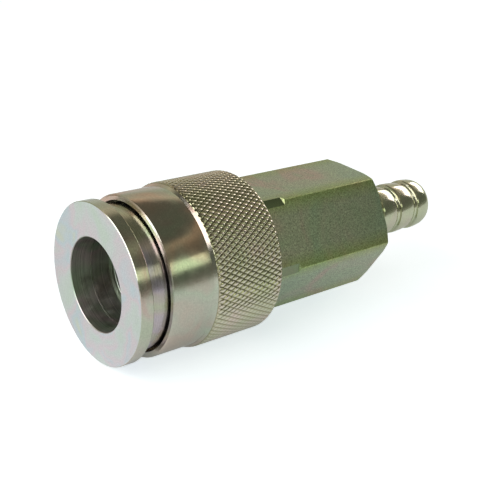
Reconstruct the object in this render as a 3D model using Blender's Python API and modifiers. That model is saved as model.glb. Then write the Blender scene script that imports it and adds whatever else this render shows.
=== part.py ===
"""Female quick disconnect coupler for compressed air, with a barbed hose tail.

The plug goes into the bore at -X and the hose goes on the barbs at +X. All pieces but the balls
are turned about one axis, so each is drawn as an outline of (station, radius) points, where the
station is the distance behind the front face. +Z is up, and the origin is under the middle of the
coupler, on the surface that it would lie on.
"""
import math

import bmesh
import bpy
from mathutils import Vector

MM = 0.001

# Bore that the plug enters, and the balls that lock it
PLUG_BORE_DIAMETER = 13.0 * MM
MOUTH_OVERSIZE = 0.1 * MM
MOUTH_LENGTH = 6.3 * MM
MOUTH_CHAMFER = 0.5 * MM
RELIEF_GROOVE_WIDTH = 0.7 * MM
RELIEF_GROOVE_DEPTH = 0.7 * MM
BALL_COUNT = 6
BALL_DIAMETER = 3.5 * MM
BALL_STATION = 11.6 * MM
BALL_PROTRUSION = 0.8 * MM
BALL_HOLE_CLEARANCE = 0.1 * MM
BALL_HOLE_LIP = 0.25 * MM
BALL_BELOW_BARREL = 0.1 * MM

# Front end of the nose body
FLANGE_WIDTH = 2.1 * MM
FLANGE_BELOW_SLEEVE = 0.1 * MM
FLANGE_CHAMFER = 0.2 * MM
NECK_GAP = 0.7 * MM
SHOULDER_WALL = 0.35 * MM
SHOULDER_SEAT = 0.6 * MM

# Release sleeve
SLEEVE_GAP = 3.1 * MM
SLEEVE_TRAVEL = 4.0 * MM
SLEEVE_WALL = 1.95 * MM
SLEEVE_LIP_WALL = 0.6 * MM
SLEEVE_OVERLAP = 1.7 * MM
LIP_CHAMFER = 0.25 * MM
KNURL_HEIGHT = 0.5 * MM
KNURL_LENGTH = 11.8 * MM
KNURL_CHAMFER = 0.65 * MM
LAND_LEAD = 0.8 * MM
LAND_TRAIL = 1.6 * MM
THRUST_WASHER_THICKNESS = 0.7 * MM

# Sleeve spring
SLEEVE_SPRING_WIRE = 0.9 * MM
SLEEVE_SPRING_TURNS = 3
SLEEVE_SPRING_SPARE = 0.4 * MM
SPRING_CLEARANCE = 0.275 * MM

# Seal and valve pieces held in the nose body
POCKET_STEP = 0.5 * MM
POCKET_START_GAP = 0.75 * MM
PLUG_SEAL_WIDTH = 2.5 * MM
PLUG_SEAL_SQUEEZE = 0.8 * MM
PLUG_SEAL_LIP = 0.5 * MM
SEAL_WASHER_THICKNESS = 0.6 * MM
SEAL_WASHER_STEP = 0.6 * MM
VALVE_SEAT_WIDTH = 2.1 * MM
VALVE_SEAT_CHAMFER = 0.5 * MM
CIRCLIP_THICKNESS = 0.8 * MM
CIRCLIP_GROOVE_DEPTH = 0.3 * MM
CIRCLIP_SIDE_PLAY = 0.1 * MM
CIRCLIP_OPENING = 3.0 * MM

# Valve poppet, its spring and its guide
POPPET_NOSE_DIAMETER = 6.0 * MM
POPPET_NOSE_LENGTH = 2.8 * MM
POPPET_NOSE_CHAMFER = 0.8 * MM
POPPET_FLOW_GAP = 1.2 * MM
POPPET_SEAL_WIDTH = 1.2 * MM
POPPET_SEAL_OVERLAP = 0.8 * MM
POPPET_HEAD_WIDTH = 1.8 * MM
POPPET_STEM_DIAMETER = 3.0 * MM
POPPET_STEM_TAIL = 4.0 * MM
VALVE_TRAVEL = 3.5 * MM
VALVE_SPRING_WIRE = 0.8 * MM
VALVE_SPRING_TURNS = 5
VALVE_SPRING_SPARE = 0.8 * MM
VALVE_SPRING_STEM_GAP = 2.0 * MM
GUIDE_THICKNESS = 2.4 * MM
GUIDE_LEDGE = 0.8 * MM
GUIDE_HOLE_COUNT = 6
GUIDE_HOLE_DIAMETER = 1.8 * MM

# Joint between the two bodies
SPIGOT_WALL = 0.9 * MM
SPIGOT_LENGTH = 6.5 * MM
SOCKET_WALL = 1.3 * MM
BODY_SEAL_SECTION = 1.3 * MM

# Hex body and hose tail
HEX_RELIEF_RUNOUT = 1.1 * MM
HEX_REAR_CHAMFER = 0.75 * MM
HEX_REAR_LAND = 0.4 * MM
CHAMBER_DIAMETER = 9.6 * MM
CHAMBER_RUNOUT = 1.0 * MM
CHAMBER_CONE_LENGTH = 2.2 * MM
HEX_REAR_WALL = 3.2 * MM
TAIL_BORE_DIAMETER = 5.2 * MM
TAIL_WALL = 1.25 * MM
TAIL_SHANK_LENGTH = 5.4 * MM
BARB_COUNT = 3
BARB_PITCH = 4.45 * MM
BARB_HEIGHT = 0.65 * MM
TIP_LENGTH = 3.7 * MM
TIP_WALL = 0.6 * MM

# Clearances between neighbours
FACE_GAP = 0.3 * MM
SLIDE_GAP = 0.2 * MM
CUT_MARGIN = 2.0 * MM

# Fineness of the round shapes
SHELL_STEPS = 40
RING_STEPS = 24
HOLE_STEPS = 16
COIL_STEPS = 18
ARC_STEPS = 4
SEAL_STEPS = 8

# Radii, from the plug bore outwards
BORE_RADIUS = PLUG_BORE_DIAMETER / 2
MOUTH_RADIUS = BORE_RADIUS + MOUTH_OVERSIZE
BALL_RADIUS = BALL_DIAMETER / 2
BALL_ORBIT = BORE_RADIUS - BALL_PROTRUSION + BALL_RADIUS
BALL_HOLE_RADIUS = BALL_RADIUS + BALL_HOLE_CLEARANCE
BARREL_RADIUS = BALL_ORBIT + BALL_RADIUS + BALL_BELOW_BARREL
LAND_RADIUS = BARREL_RADIUS + SLIDE_GAP
SLEEVE_SPRING_RADIUS = BARREL_RADIUS + SPRING_CLEARANCE + SLEEVE_SPRING_WIRE / 2
SLEEVE_BORE_RADIUS = SLEEVE_SPRING_RADIUS + SLEEVE_SPRING_WIRE / 2 + SPRING_CLEARANCE
KNURL_RADIUS = SLEEVE_BORE_RADIUS + SLEEVE_WALL
PLAIN_RADIUS = KNURL_RADIUS - KNURL_HEIGHT
LIP_BORE_RADIUS = PLAIN_RADIUS - SLEEVE_LIP_WALL
FLANGE_RADIUS = PLAIN_RADIUS - FLANGE_BELOW_SLEEVE
NECK_RADIUS = LIP_BORE_RADIUS - NECK_GAP
POCKET_RADIUS = BORE_RADIUS + POCKET_STEP
SPIGOT_RADIUS = POCKET_RADIUS + SPIGOT_WALL
SOCKET_RADIUS = SPIGOT_RADIUS + FACE_GAP
HEX_FLAT_RADIUS = SOCKET_RADIUS + SOCKET_WALL
HEX_CORNER_RADIUS = HEX_FLAT_RADIUS / math.cos(math.pi / 6)
HEX_RELIEF_RADIUS = SLEEVE_BORE_RADIUS - SLIDE_GAP
POPPET_NOSE_RADIUS = POPPET_NOSE_DIAMETER / 2
POPPET_STEM_RADIUS = POPPET_STEM_DIAMETER / 2
SEAT_BORE_RADIUS = POPPET_NOSE_RADIUS + POPPET_FLOW_GAP
POPPET_SEAL_RADIUS = SEAT_BORE_RADIUS + POPPET_SEAL_OVERLAP
POPPET_HEAD_RADIUS = POPPET_SEAL_RADIUS + SLIDE_GAP
CIRCLIP_BORE_RADIUS = POPPET_HEAD_RADIUS + 2 * SLIDE_GAP
VALVE_SPRING_RADIUS = POPPET_STEM_RADIUS + VALVE_SPRING_STEM_GAP + VALVE_SPRING_WIRE / 2
GUIDE_BORE_RADIUS = POCKET_RADIUS + CIRCLIP_SIDE_PLAY
GUIDE_RADIUS = GUIDE_BORE_RADIUS - FACE_GAP
CHAMBER_RADIUS = CHAMBER_DIAMETER / 2
TAIL_BORE_RADIUS = TAIL_BORE_DIAMETER / 2
TAIL_ROOT_RADIUS = TAIL_BORE_RADIUS + TAIL_WALL
BARB_RADIUS = TAIL_ROOT_RADIUS + BARB_HEIGHT
TIP_RADIUS = TAIL_BORE_RADIUS + TIP_WALL

# Stations, from the front face to the tip of the hose tail
SHOULDER_STATION = BALL_STATION - BALL_HOLE_RADIUS - SHOULDER_WALL
SLEEVE_FRONT = FLANGE_WIDTH + SLEEVE_GAP
SLEEVE_SHOULDER = SHOULDER_STATION + FACE_GAP
LAND_FRONT = BALL_STATION - LAND_LEAD
LAND_REAR = BALL_STATION + LAND_TRAIL
WASHER_FRONT = LAND_REAR + FACE_GAP
WASHER_REAR = WASHER_FRONT + THRUST_WASHER_THICKNESS
SLEEVE_SPRING_FRONT = WASHER_REAR + FACE_GAP
SLEEVE_SPRING_SOLID = (SLEEVE_SPRING_TURNS + 1) * SLEEVE_SPRING_WIRE + SLEEVE_SPRING_SPARE
SLEEVE_SPRING_REAR = SLEEVE_SPRING_FRONT + SLEEVE_SPRING_SOLID + SLEEVE_TRAVEL
HEX_FRONT = SLEEVE_SPRING_REAR + FACE_GAP
BARREL_END = SLEEVE_SPRING_REAR
SLEEVE_REAR = HEX_FRONT + SLEEVE_OVERLAP
KNURL_FRONT = SLEEVE_REAR - KNURL_LENGTH
HEX_RELIEF_REAR = SLEEVE_REAR + SLEEVE_TRAVEL + HEX_RELIEF_RUNOUT
POCKET_START = BALL_STATION + BALL_HOLE_RADIUS + POCKET_START_GAP
PLUG_SEAL_FRONT = POCKET_START + FACE_GAP
PLUG_SEAL_REAR = PLUG_SEAL_FRONT + PLUG_SEAL_WIDTH
SEAL_WASHER_FRONT = PLUG_SEAL_REAR + FACE_GAP
SEAL_WASHER_REAR = SEAL_WASHER_FRONT + SEAL_WASHER_THICKNESS
VALVE_SEAT_FRONT = SEAL_WASHER_REAR + FACE_GAP
VALVE_SEAT_REAR = VALVE_SEAT_FRONT + VALVE_SEAT_WIDTH
CIRCLIP_FRONT = VALVE_SEAT_REAR + FACE_GAP
CIRCLIP_REAR = CIRCLIP_FRONT + CIRCLIP_THICKNESS
POPPET_FRONT = VALVE_SEAT_FRONT - POPPET_NOSE_LENGTH
POPPET_SEAL_FRONT = VALVE_SEAT_REAR + FACE_GAP
POPPET_SEAL_REAR = POPPET_SEAL_FRONT + POPPET_SEAL_WIDTH
POPPET_HEAD_FRONT = POPPET_SEAL_REAR + FACE_GAP
POPPET_HEAD_REAR = POPPET_HEAD_FRONT + POPPET_HEAD_WIDTH
VALVE_SPRING_FRONT = POPPET_HEAD_REAR + FACE_GAP
VALVE_SPRING_SOLID = (VALVE_SPRING_TURNS + 1) * VALVE_SPRING_WIRE + VALVE_SPRING_SPARE
VALVE_SPRING_REAR = VALVE_SPRING_FRONT + VALVE_SPRING_SOLID + VALVE_TRAVEL
GUIDE_FRONT = VALVE_SPRING_REAR + FACE_GAP
GUIDE_REAR = GUIDE_FRONT + GUIDE_THICKNESS
GUIDE_FLOOR = GUIDE_REAR + FACE_GAP
POPPET_REAR = GUIDE_REAR + POPPET_STEM_TAIL
SPIGOT_END = BARREL_END + SPIGOT_LENGTH
SOCKET_FLOOR = SPIGOT_END + BODY_SEAL_SECTION + 2 * FACE_GAP
CHAMBER_END = POPPET_REAR + VALVE_TRAVEL + CHAMBER_RUNOUT
HEX_REAR = CHAMBER_END + CHAMBER_CONE_LENGTH + HEX_REAR_WALL
FIRST_BARB = HEX_REAR + TAIL_SHANK_LENGTH
TIP_START = FIRST_BARB + (BARB_COUNT - 1) * BARB_PITCH
OVERALL_LENGTH = TIP_START + TIP_LENGTH


def clear_scene():
    for obj in list(bpy.data.objects):
        bpy.data.objects.remove(obj)


def make_collection(name):
    collection = bpy.data.collections.new(name)
    bpy.context.scene.collection.children.link(collection)
    return collection


def metal(name, colour, roughness, metallic=1.0):
    material = bpy.data.materials.new(name)
    material.use_nodes = True
    shader = material.node_tree.nodes["Principled BSDF"]
    shader.inputs["Base Color"].default_value = (*colour, 1.0)
    shader.inputs["Roughness"].default_value = roughness
    shader.inputs["Metallic"].default_value = metallic
    return material


def rubber(name, colour, roughness):
    return metal(name, colour, roughness, metallic=0.0)


def add_object(name, data, collection, parent):
    obj = bpy.data.objects.new(name, data)
    obj.parent = parent
    collection.objects.link(obj)
    return obj


def mark_cutter(obj):
    obj.hide_render = True
    obj.display_type = "WIRE"
    return obj


def outline_mesh(name, points, closed):
    """Edges through the outline's points, in the plane y = 0 of the turning axis."""
    shape = bmesh.new()
    corners = [shape.verts.new((radius, 0.0, station)) for station, radius in points]
    for first, second in zip(corners, corners[1:]):
        shape.edges.new((first, second))
    if closed:
        shape.edges.new((corners[-1], corners[0]))
    mesh = bpy.data.meshes.new(name)
    shape.to_mesh(mesh)
    shape.free()
    return mesh


def turn(name, points, closed, steps, place):
    """Turn an outline about the parent's Z axis and shade the result."""
    obj = add_object(name, outline_mesh(name, points, closed), *place)
    screw = obj.modifiers.new("turned", "SCREW")
    screw.axis = "Z"
    screw.angle = 2 * math.pi
    screw.steps = steps
    screw.render_steps = steps
    screw.use_merge_vertices = True
    screw.merge_threshold = 0.01 * MM
    bpy.context.view_layer.update()
    evaluated = obj.evaluated_get(bpy.context.evaluated_depsgraph_get())
    mesh = bpy.data.meshes.new_from_object(evaluated)
    mesh.name = name
    mesh.shade_smooth()
    mesh.set_sharp_from_angle(angle=math.radians(30))
    obj.modifiers.clear()
    obj.data = mesh
    return obj


def turned_ring(name, outer, bore, steps, place):
    """A ring from its outer and bore outlines, both listed from front to rear."""
    return turn(name, outer[::-1] + bore, True, steps, place)


def turned_bar(name, outer, steps, place):
    """A bar from its outer outline, listed from front to rear."""
    ends = (outer[-1][0], 0.0), (outer[0][0], 0.0)
    return turn(name, [ends[0]] + outer[::-1] + [ends[1]], False, steps, place)


def plain_ring(name, front, rear, bore_radius, outer_radius, steps, place):
    outer = [(front, outer_radius), (rear, outer_radius)]
    bore = [(front, bore_radius), (rear, bore_radius)]
    return turned_ring(name, outer, bore, steps, place)


def boolean(obj, operand, operation):
    modifier = obj.modifiers.new(operand.name, "BOOLEAN")
    modifier.operation = operation
    modifier.solver = "EXACT"
    modifier.object = operand


def quarter_ellipse(start, end):
    """Points on a convex curve that leaves start along the axis and drops to end."""
    points = []
    for step in range(ARC_STEPS + 1):
        angle = math.pi / 2 * step / ARC_STEPS
        station = start[0] + (end[0] - start[0]) * math.sin(angle)
        radius = end[1] + (start[1] - end[1]) * math.cos(angle)
        points.append((station, radius))
    return points


def coil(name, front, rear, mean_radius, wire, turns, place):
    """A compression spring of round wire whose ends touch the front and rear stations."""
    curve = bpy.data.curves.new(name, "CURVE")
    curve.dimensions = "3D"
    curve.bevel_depth = wire / 2
    curve.bevel_resolution = 2
    curve.use_fill_caps = True
    count = turns * COIL_STEPS + 1
    line = curve.splines.new("POLY")
    line.points.add(count - 1)
    run = rear - front - wire
    for index, point in enumerate(line.points):
        share = index / (count - 1)
        angle = 2 * math.pi * turns * share
        station = front + wire / 2 + run * share
        point.co = (mean_radius * math.cos(angle), mean_radius * math.sin(angle), station, 1.0)
    return add_object(name, curve, *place)


def ball_hole_cutter(index, place):
    """Radial hole that is narrowed at the bore, so that the ball can't fall through."""
    lip_radius = BALL_HOLE_RADIUS - BALL_HOLE_LIP
    seat = BORE_RADIUS + BALL_HOLE_LIP
    profile = [
        (BORE_RADIUS - CUT_MARGIN, lip_radius),
        (BORE_RADIUS, lip_radius),
        (seat + BALL_HOLE_LIP, BALL_HOLE_RADIUS),
        (NECK_RADIUS + CUT_MARGIN, BALL_HOLE_RADIUS),
    ]
    cutter = mark_cutter(turned_bar(f"ball_hole_{index}", profile, HOLE_STEPS, place))
    cutter.location = (0.0, 0.0, BALL_STATION)
    cutter.rotation_euler = (math.pi / 2, 0.0, ball_angle(index) + math.pi / 2)
    return cutter


def ball_angle(index):
    return 2 * math.pi * (index - 0.5) / BALL_COUNT


def nose_body(place, cutter_place, material):
    """Flange, neck and barrel in one piece, with the plug bore and the seal pocket inside."""
    groove_rear = MOUTH_LENGTH + RELIEF_GROOVE_WIDTH
    clip_groove = POCKET_RADIUS + CIRCLIP_GROOVE_DEPTH
    outer = [
        (0.0, FLANGE_RADIUS - FLANGE_CHAMFER),
        (FLANGE_CHAMFER, FLANGE_RADIUS),
        (FLANGE_WIDTH - FLANGE_CHAMFER, FLANGE_RADIUS),
        (FLANGE_WIDTH, FLANGE_RADIUS - FLANGE_CHAMFER),
        (FLANGE_WIDTH, NECK_RADIUS),
        (SHOULDER_STATION, NECK_RADIUS),
        (SHOULDER_STATION, BARREL_RADIUS),
        (BARREL_END, BARREL_RADIUS),
        (BARREL_END, SPIGOT_RADIUS),
        (SPIGOT_END, SPIGOT_RADIUS),
    ]
    bore = [
        (0.0, MOUTH_RADIUS + MOUTH_CHAMFER),
        (MOUTH_CHAMFER, MOUTH_RADIUS),
        (MOUTH_LENGTH, MOUTH_RADIUS),
        (MOUTH_LENGTH, MOUTH_RADIUS + RELIEF_GROOVE_DEPTH),
        (groove_rear, MOUTH_RADIUS + RELIEF_GROOVE_DEPTH),
        (groove_rear, BORE_RADIUS),
        (POCKET_START, BORE_RADIUS),
        (POCKET_START, POCKET_RADIUS),
        (CIRCLIP_FRONT - CIRCLIP_SIDE_PLAY, POCKET_RADIUS),
        (CIRCLIP_FRONT - CIRCLIP_SIDE_PLAY, clip_groove),
        (CIRCLIP_REAR + CIRCLIP_SIDE_PLAY, clip_groove),
        (CIRCLIP_REAR + CIRCLIP_SIDE_PLAY, POCKET_RADIUS),
        (SPIGOT_END, POCKET_RADIUS),
    ]
    body = turned_ring("nose_body", outer, bore, SHELL_STEPS, place)
    body.data.materials.append(material)
    for index in range(1, BALL_COUNT + 1):
        boolean(body, ball_hole_cutter(index, cutter_place), "DIFFERENCE")


def hex_body(place, cutter_place, material):
    """Hexagon with a turned-down front, the air chamber inside, and the barbed hose tail."""
    envelope = HEX_CORNER_RADIUS + SLIDE_GAP
    relief_step = envelope - HEX_RELIEF_RADIUS
    outer = [
        (HEX_FRONT, HEX_RELIEF_RADIUS),
        (HEX_RELIEF_REAR, HEX_RELIEF_RADIUS),
        (HEX_RELIEF_REAR + relief_step, envelope),
        (HEX_REAR - HEX_REAR_CHAMFER, envelope),
        (HEX_REAR, HEX_FLAT_RADIUS + HEX_REAR_LAND),
        (HEX_REAR, TAIL_ROOT_RADIUS),
        (FIRST_BARB, TAIL_ROOT_RADIUS),
    ]
    for barb in range(BARB_COUNT - 1):
        rim = FIRST_BARB + barb * BARB_PITCH
        outer += quarter_ellipse((rim, BARB_RADIUS), (rim + BARB_PITCH, TAIL_ROOT_RADIUS))
    outer += quarter_ellipse((TIP_START, BARB_RADIUS), (OVERALL_LENGTH, TIP_RADIUS))
    bore = [
        (HEX_FRONT, SOCKET_RADIUS),
        (SOCKET_FLOOR, SOCKET_RADIUS),
        (SOCKET_FLOOR, GUIDE_BORE_RADIUS),
        (GUIDE_FLOOR, GUIDE_BORE_RADIUS),
        (GUIDE_FLOOR, GUIDE_BORE_RADIUS - GUIDE_LEDGE),
        (GUIDE_FLOOR + GUIDE_LEDGE, CHAMBER_RADIUS),
        (CHAMBER_END, CHAMBER_RADIUS),
        (CHAMBER_END + CHAMBER_CONE_LENGTH, TAIL_BORE_RADIUS),
        (OVERALL_LENGTH, TAIL_BORE_RADIUS),
    ]
    body = turned_ring("hex_body", outer, bore, SHELL_STEPS, place)
    body.data.materials.append(material)
    boolean(body, hex_prism(cutter_place), "INTERSECT")


def hex_prism(place):
    """Hexagonal bar as long as the coupler, with two of its flats facing up and down."""
    shape = bmesh.new()
    length = OVERALL_LENGTH + 2 * CUT_MARGIN
    bmesh.ops.create_cone(
        shape, cap_ends=True, segments=6,
        radius1=HEX_CORNER_RADIUS, radius2=HEX_CORNER_RADIUS, depth=length,
    )
    mesh = bpy.data.meshes.new("hex_bar")
    shape.to_mesh(mesh)
    shape.free()
    bar = mark_cutter(add_object("hex_bar", mesh, *place))
    bar.location = (0.0, 0.0, OVERALL_LENGTH / 2)
    return bar


def release_sleeve(place, material):
    """Sleeve that is pulled back to let the balls out, knurled over its rear half."""
    seat_radius = NECK_RADIUS - SHOULDER_SEAT
    outer = [
        (SLEEVE_FRONT, PLAIN_RADIUS - LIP_CHAMFER),
        (SLEEVE_FRONT + LIP_CHAMFER, PLAIN_RADIUS),
        (KNURL_FRONT - KNURL_CHAMFER, PLAIN_RADIUS),
        (KNURL_FRONT, KNURL_RADIUS),
        (SLEEVE_REAR, KNURL_RADIUS),
    ]
    bore = [
        (SLEEVE_FRONT, LIP_BORE_RADIUS),
        (SLEEVE_SHOULDER, LIP_BORE_RADIUS),
        (SLEEVE_SHOULDER, seat_radius),
        (LAND_FRONT, LAND_RADIUS),
        (LAND_REAR, LAND_RADIUS),
        (LAND_REAR, SLEEVE_BORE_RADIUS),
        (SLEEVE_REAR, SLEEVE_BORE_RADIUS),
    ]
    sleeve = turned_ring("release_sleeve", outer, bore, SHELL_STEPS, place)
    sleeve.data.materials.append(material)


def thrust_washer(place, material):
    """Washer that carries the spring's end, so that the sleeve turns freely."""
    outer_radius = SLEEVE_BORE_RADIUS - SLIDE_GAP
    washer = plain_ring(
        "thrust_washer", WASHER_FRONT, WASHER_REAR, LAND_RADIUS, outer_radius, SHELL_STEPS, place
    )
    washer.data.materials.append(material)


def lock_balls(place, material):
    for index in range(1, BALL_COUNT + 1):
        shape = bmesh.new()
        bmesh.ops.create_uvsphere(shape, u_segments=12, v_segments=8, radius=BALL_RADIUS)
        name = f"lock_ball_{index}"
        mesh = bpy.data.meshes.new(name)
        shape.to_mesh(mesh)
        shape.free()
        mesh.shade_smooth()
        mesh.materials.append(material)
        ball = add_object(name, mesh, *place)
        angle = ball_angle(index)
        around = Vector((math.cos(angle), math.sin(angle), 0.0)) * BALL_ORBIT
        ball.location = around + Vector((0.0, 0.0, BALL_STATION))


def plug_seal(place, material):
    """Seal that grips the plug, with a tapered lip at its front."""
    outer_radius = POCKET_RADIUS - SLIDE_GAP
    inner_radius = BORE_RADIUS - PLUG_SEAL_SQUEEZE
    outer = [(PLUG_SEAL_FRONT, outer_radius), (PLUG_SEAL_REAR, outer_radius)]
    bore = [
        (PLUG_SEAL_FRONT, inner_radius + PLUG_SEAL_LIP),
        (PLUG_SEAL_FRONT + PLUG_SEAL_LIP, inner_radius),
        (PLUG_SEAL_REAR, inner_radius),
    ]
    seal = turned_ring("plug_seal", outer, bore, RING_STEPS, place)
    seal.data.materials.append(material)


def seal_washer(place, material):
    """Washer between the plug's seal and the valve seat."""
    bore_radius = BORE_RADIUS - SEAL_WASHER_STEP
    outer_radius = POCKET_RADIUS - SLIDE_GAP
    washer = plain_ring(
        "seal_washer", SEAL_WASHER_FRONT, SEAL_WASHER_REAR, bore_radius, outer_radius,
        RING_STEPS, place,
    )
    washer.data.materials.append(material)


def valve_seat(place, material):
    """Ring that the poppet's seal closes against."""
    outer_radius = POCKET_RADIUS - SLIDE_GAP
    outer = [(VALVE_SEAT_FRONT, outer_radius), (VALVE_SEAT_REAR, outer_radius)]
    bore = [
        (VALVE_SEAT_FRONT, SEAT_BORE_RADIUS + VALVE_SEAT_CHAMFER),
        (VALVE_SEAT_FRONT + VALVE_SEAT_CHAMFER, SEAT_BORE_RADIUS),
        (VALVE_SEAT_REAR, SEAT_BORE_RADIUS),
    ]
    seat = turned_ring("valve_seat", outer, bore, RING_STEPS, place)
    seat.data.materials.append(material)


def seat_circlip(place, cutter_place, material):
    """Open spring ring that holds the valve seat, sprung into a groove in the pocket."""
    outer_radius = POCKET_RADIUS + CIRCLIP_GROOVE_DEPTH - CIRCLIP_SIDE_PLAY
    clip = plain_ring(
        "seat_circlip", CIRCLIP_FRONT, CIRCLIP_REAR, CIRCLIP_BORE_RADIUS, outer_radius,
        RING_STEPS, place,
    )
    clip.data.materials.append(material)
    shape = bmesh.new()
    bmesh.ops.create_cube(shape, size=1.0)
    depth = CIRCLIP_THICKNESS + 2 * CUT_MARGIN
    bmesh.ops.scale(shape, vec=(outer_radius + CUT_MARGIN, CIRCLIP_OPENING, depth), verts=shape.verts)
    mesh = bpy.data.meshes.new("circlip_opening")
    shape.to_mesh(mesh)
    shape.free()
    opening = mark_cutter(add_object("circlip_opening", mesh, *cutter_place))
    opening.location = ((outer_radius + CUT_MARGIN) / 2, 0.0, (CIRCLIP_FRONT + CIRCLIP_REAR) / 2)
    boolean(clip, opening, "DIFFERENCE")


def valve_poppet(place, material):
    """Poppet that the plug pushes off its seat: nose, head and guided stem in one piece."""
    outer = [
        (POPPET_FRONT, POPPET_NOSE_RADIUS - POPPET_NOSE_CHAMFER),
        (POPPET_FRONT + POPPET_NOSE_CHAMFER, POPPET_NOSE_RADIUS),
        (POPPET_HEAD_FRONT, POPPET_NOSE_RADIUS),
        (POPPET_HEAD_FRONT, POPPET_HEAD_RADIUS),
        (POPPET_HEAD_REAR, POPPET_HEAD_RADIUS),
        (POPPET_HEAD_REAR, POPPET_STEM_RADIUS),
        (POPPET_REAR, POPPET_STEM_RADIUS),
    ]
    poppet = turned_bar("valve_poppet", outer, RING_STEPS, place)
    poppet.data.materials.append(material)


def poppet_seal(place, material):
    """Rubber ring on the poppet, between its head and the valve seat."""
    bore_radius = POPPET_NOSE_RADIUS + SLIDE_GAP
    seal = plain_ring(
        "poppet_seal", POPPET_SEAL_FRONT, POPPET_SEAL_REAR, bore_radius, POPPET_SEAL_RADIUS,
        RING_STEPS, place,
    )
    seal.data.materials.append(material)


def valve_guide(place, cutter_place, material):
    """Disc that guides the poppet's stem, with a ring of holes for the air."""
    bore_radius = POPPET_STEM_RADIUS + FACE_GAP
    guide = plain_ring(
        "valve_guide", GUIDE_FRONT, GUIDE_REAR, bore_radius, GUIDE_RADIUS, RING_STEPS, place
    )
    guide.data.materials.append(material)
    spring_edge = VALVE_SPRING_RADIUS + VALVE_SPRING_WIRE / 2
    orbit = (spring_edge + GUIDE_RADIUS) / 2
    half = GUIDE_THICKNESS / 2 + CUT_MARGIN
    hole_radius = GUIDE_HOLE_DIAMETER / 2
    for index in range(GUIDE_HOLE_COUNT):
        name = f"guide_hole_{index + 1}"
        outer = [(-half, hole_radius), (half, hole_radius)]
        hole = mark_cutter(turned_bar(name, outer, HOLE_STEPS, cutter_place))
        angle = 2 * math.pi * index / GUIDE_HOLE_COUNT
        middle = (GUIDE_FRONT + GUIDE_REAR) / 2
        hole.location = (orbit * math.cos(angle), orbit * math.sin(angle), middle)
        boolean(guide, hole, "DIFFERENCE")


def body_seal(place, material):
    """O-ring between the nose body's spigot and the floor of the hex body's socket."""
    radius = SOCKET_RADIUS - SLIDE_GAP - BODY_SEAL_SECTION / 2
    turns = [2 * math.pi * step / SEAL_STEPS for step in range(SEAL_STEPS)]
    station = SPIGOT_END + FACE_GAP + BODY_SEAL_SECTION / 2
    half = BODY_SEAL_SECTION / 2
    ring = [(station + half * math.sin(turn), radius + half * math.cos(turn)) for turn in turns]
    seal = turn("body_seal", ring[::-1], True, RING_STEPS, place)
    seal.data.materials.append(material)


def sleeve_spring(place, material):
    """Spring that pushes the sleeve forward over the balls."""
    spring = coil(
        "sleeve_spring", SLEEVE_SPRING_FRONT, SLEEVE_SPRING_REAR, SLEEVE_SPRING_RADIUS,
        SLEEVE_SPRING_WIRE, SLEEVE_SPRING_TURNS, place,
    )
    spring.data.materials.append(material)


def valve_spring(place, material):
    """Spring that pushes the poppet forward on to its seat."""
    spring = coil(
        "valve_spring", VALVE_SPRING_FRONT, VALVE_SPRING_REAR, VALVE_SPRING_RADIUS,
        VALVE_SPRING_WIRE, VALVE_SPRING_TURNS, place,
    )
    spring.data.materials.append(material)


def turning_axis():
    """Empty at the middle of the front face, whose Z axis runs back along the coupler."""
    axis = bpy.data.objects.new("turning_axis", None)
    bpy.context.scene.collection.objects.link(axis)
    axis.location = (-OVERALL_LENGTH / 2, 0.0, KNURL_RADIUS)
    axis.rotation_euler = (0.0, math.pi / 2, 0.0)
    return axis


clear_scene()
axis = turning_axis()
place = (make_collection("quick_disconnect_coupler"), axis)
cutter_place = (make_collection("cutters"), axis)

zinc = metal("zinc_chromate_steel", (0.30, 0.31, 0.24), 0.32)
spring_steel = metal("spring_steel", (0.42, 0.42, 0.40), 0.30)
ball_steel = metal("ball_steel", (0.62, 0.62, 0.62), 0.12)
brass = metal("brass", (0.65, 0.47, 0.18), 0.30)
nitrile = rubber("nitrile_rubber", (0.02, 0.02, 0.02), 0.60)

nose_body(place, cutter_place, zinc)
release_sleeve(place, zinc)
thrust_washer(place, spring_steel)
sleeve_spring(place, spring_steel)
lock_balls(place, ball_steel)
plug_seal(place, nitrile)
seal_washer(place, spring_steel)
valve_seat(place, brass)
seat_circlip(place, cutter_place, spring_steel)
valve_poppet(place, brass)
poppet_seal(place, nitrile)
valve_spring(place, spring_steel)
valve_guide(place, cutter_place, brass)
body_seal(place, nitrile)
hex_body(place, cutter_place, zinc)
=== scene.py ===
import math

import bmesh
import bpy
from mathutils import Matrix, Vector


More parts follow.
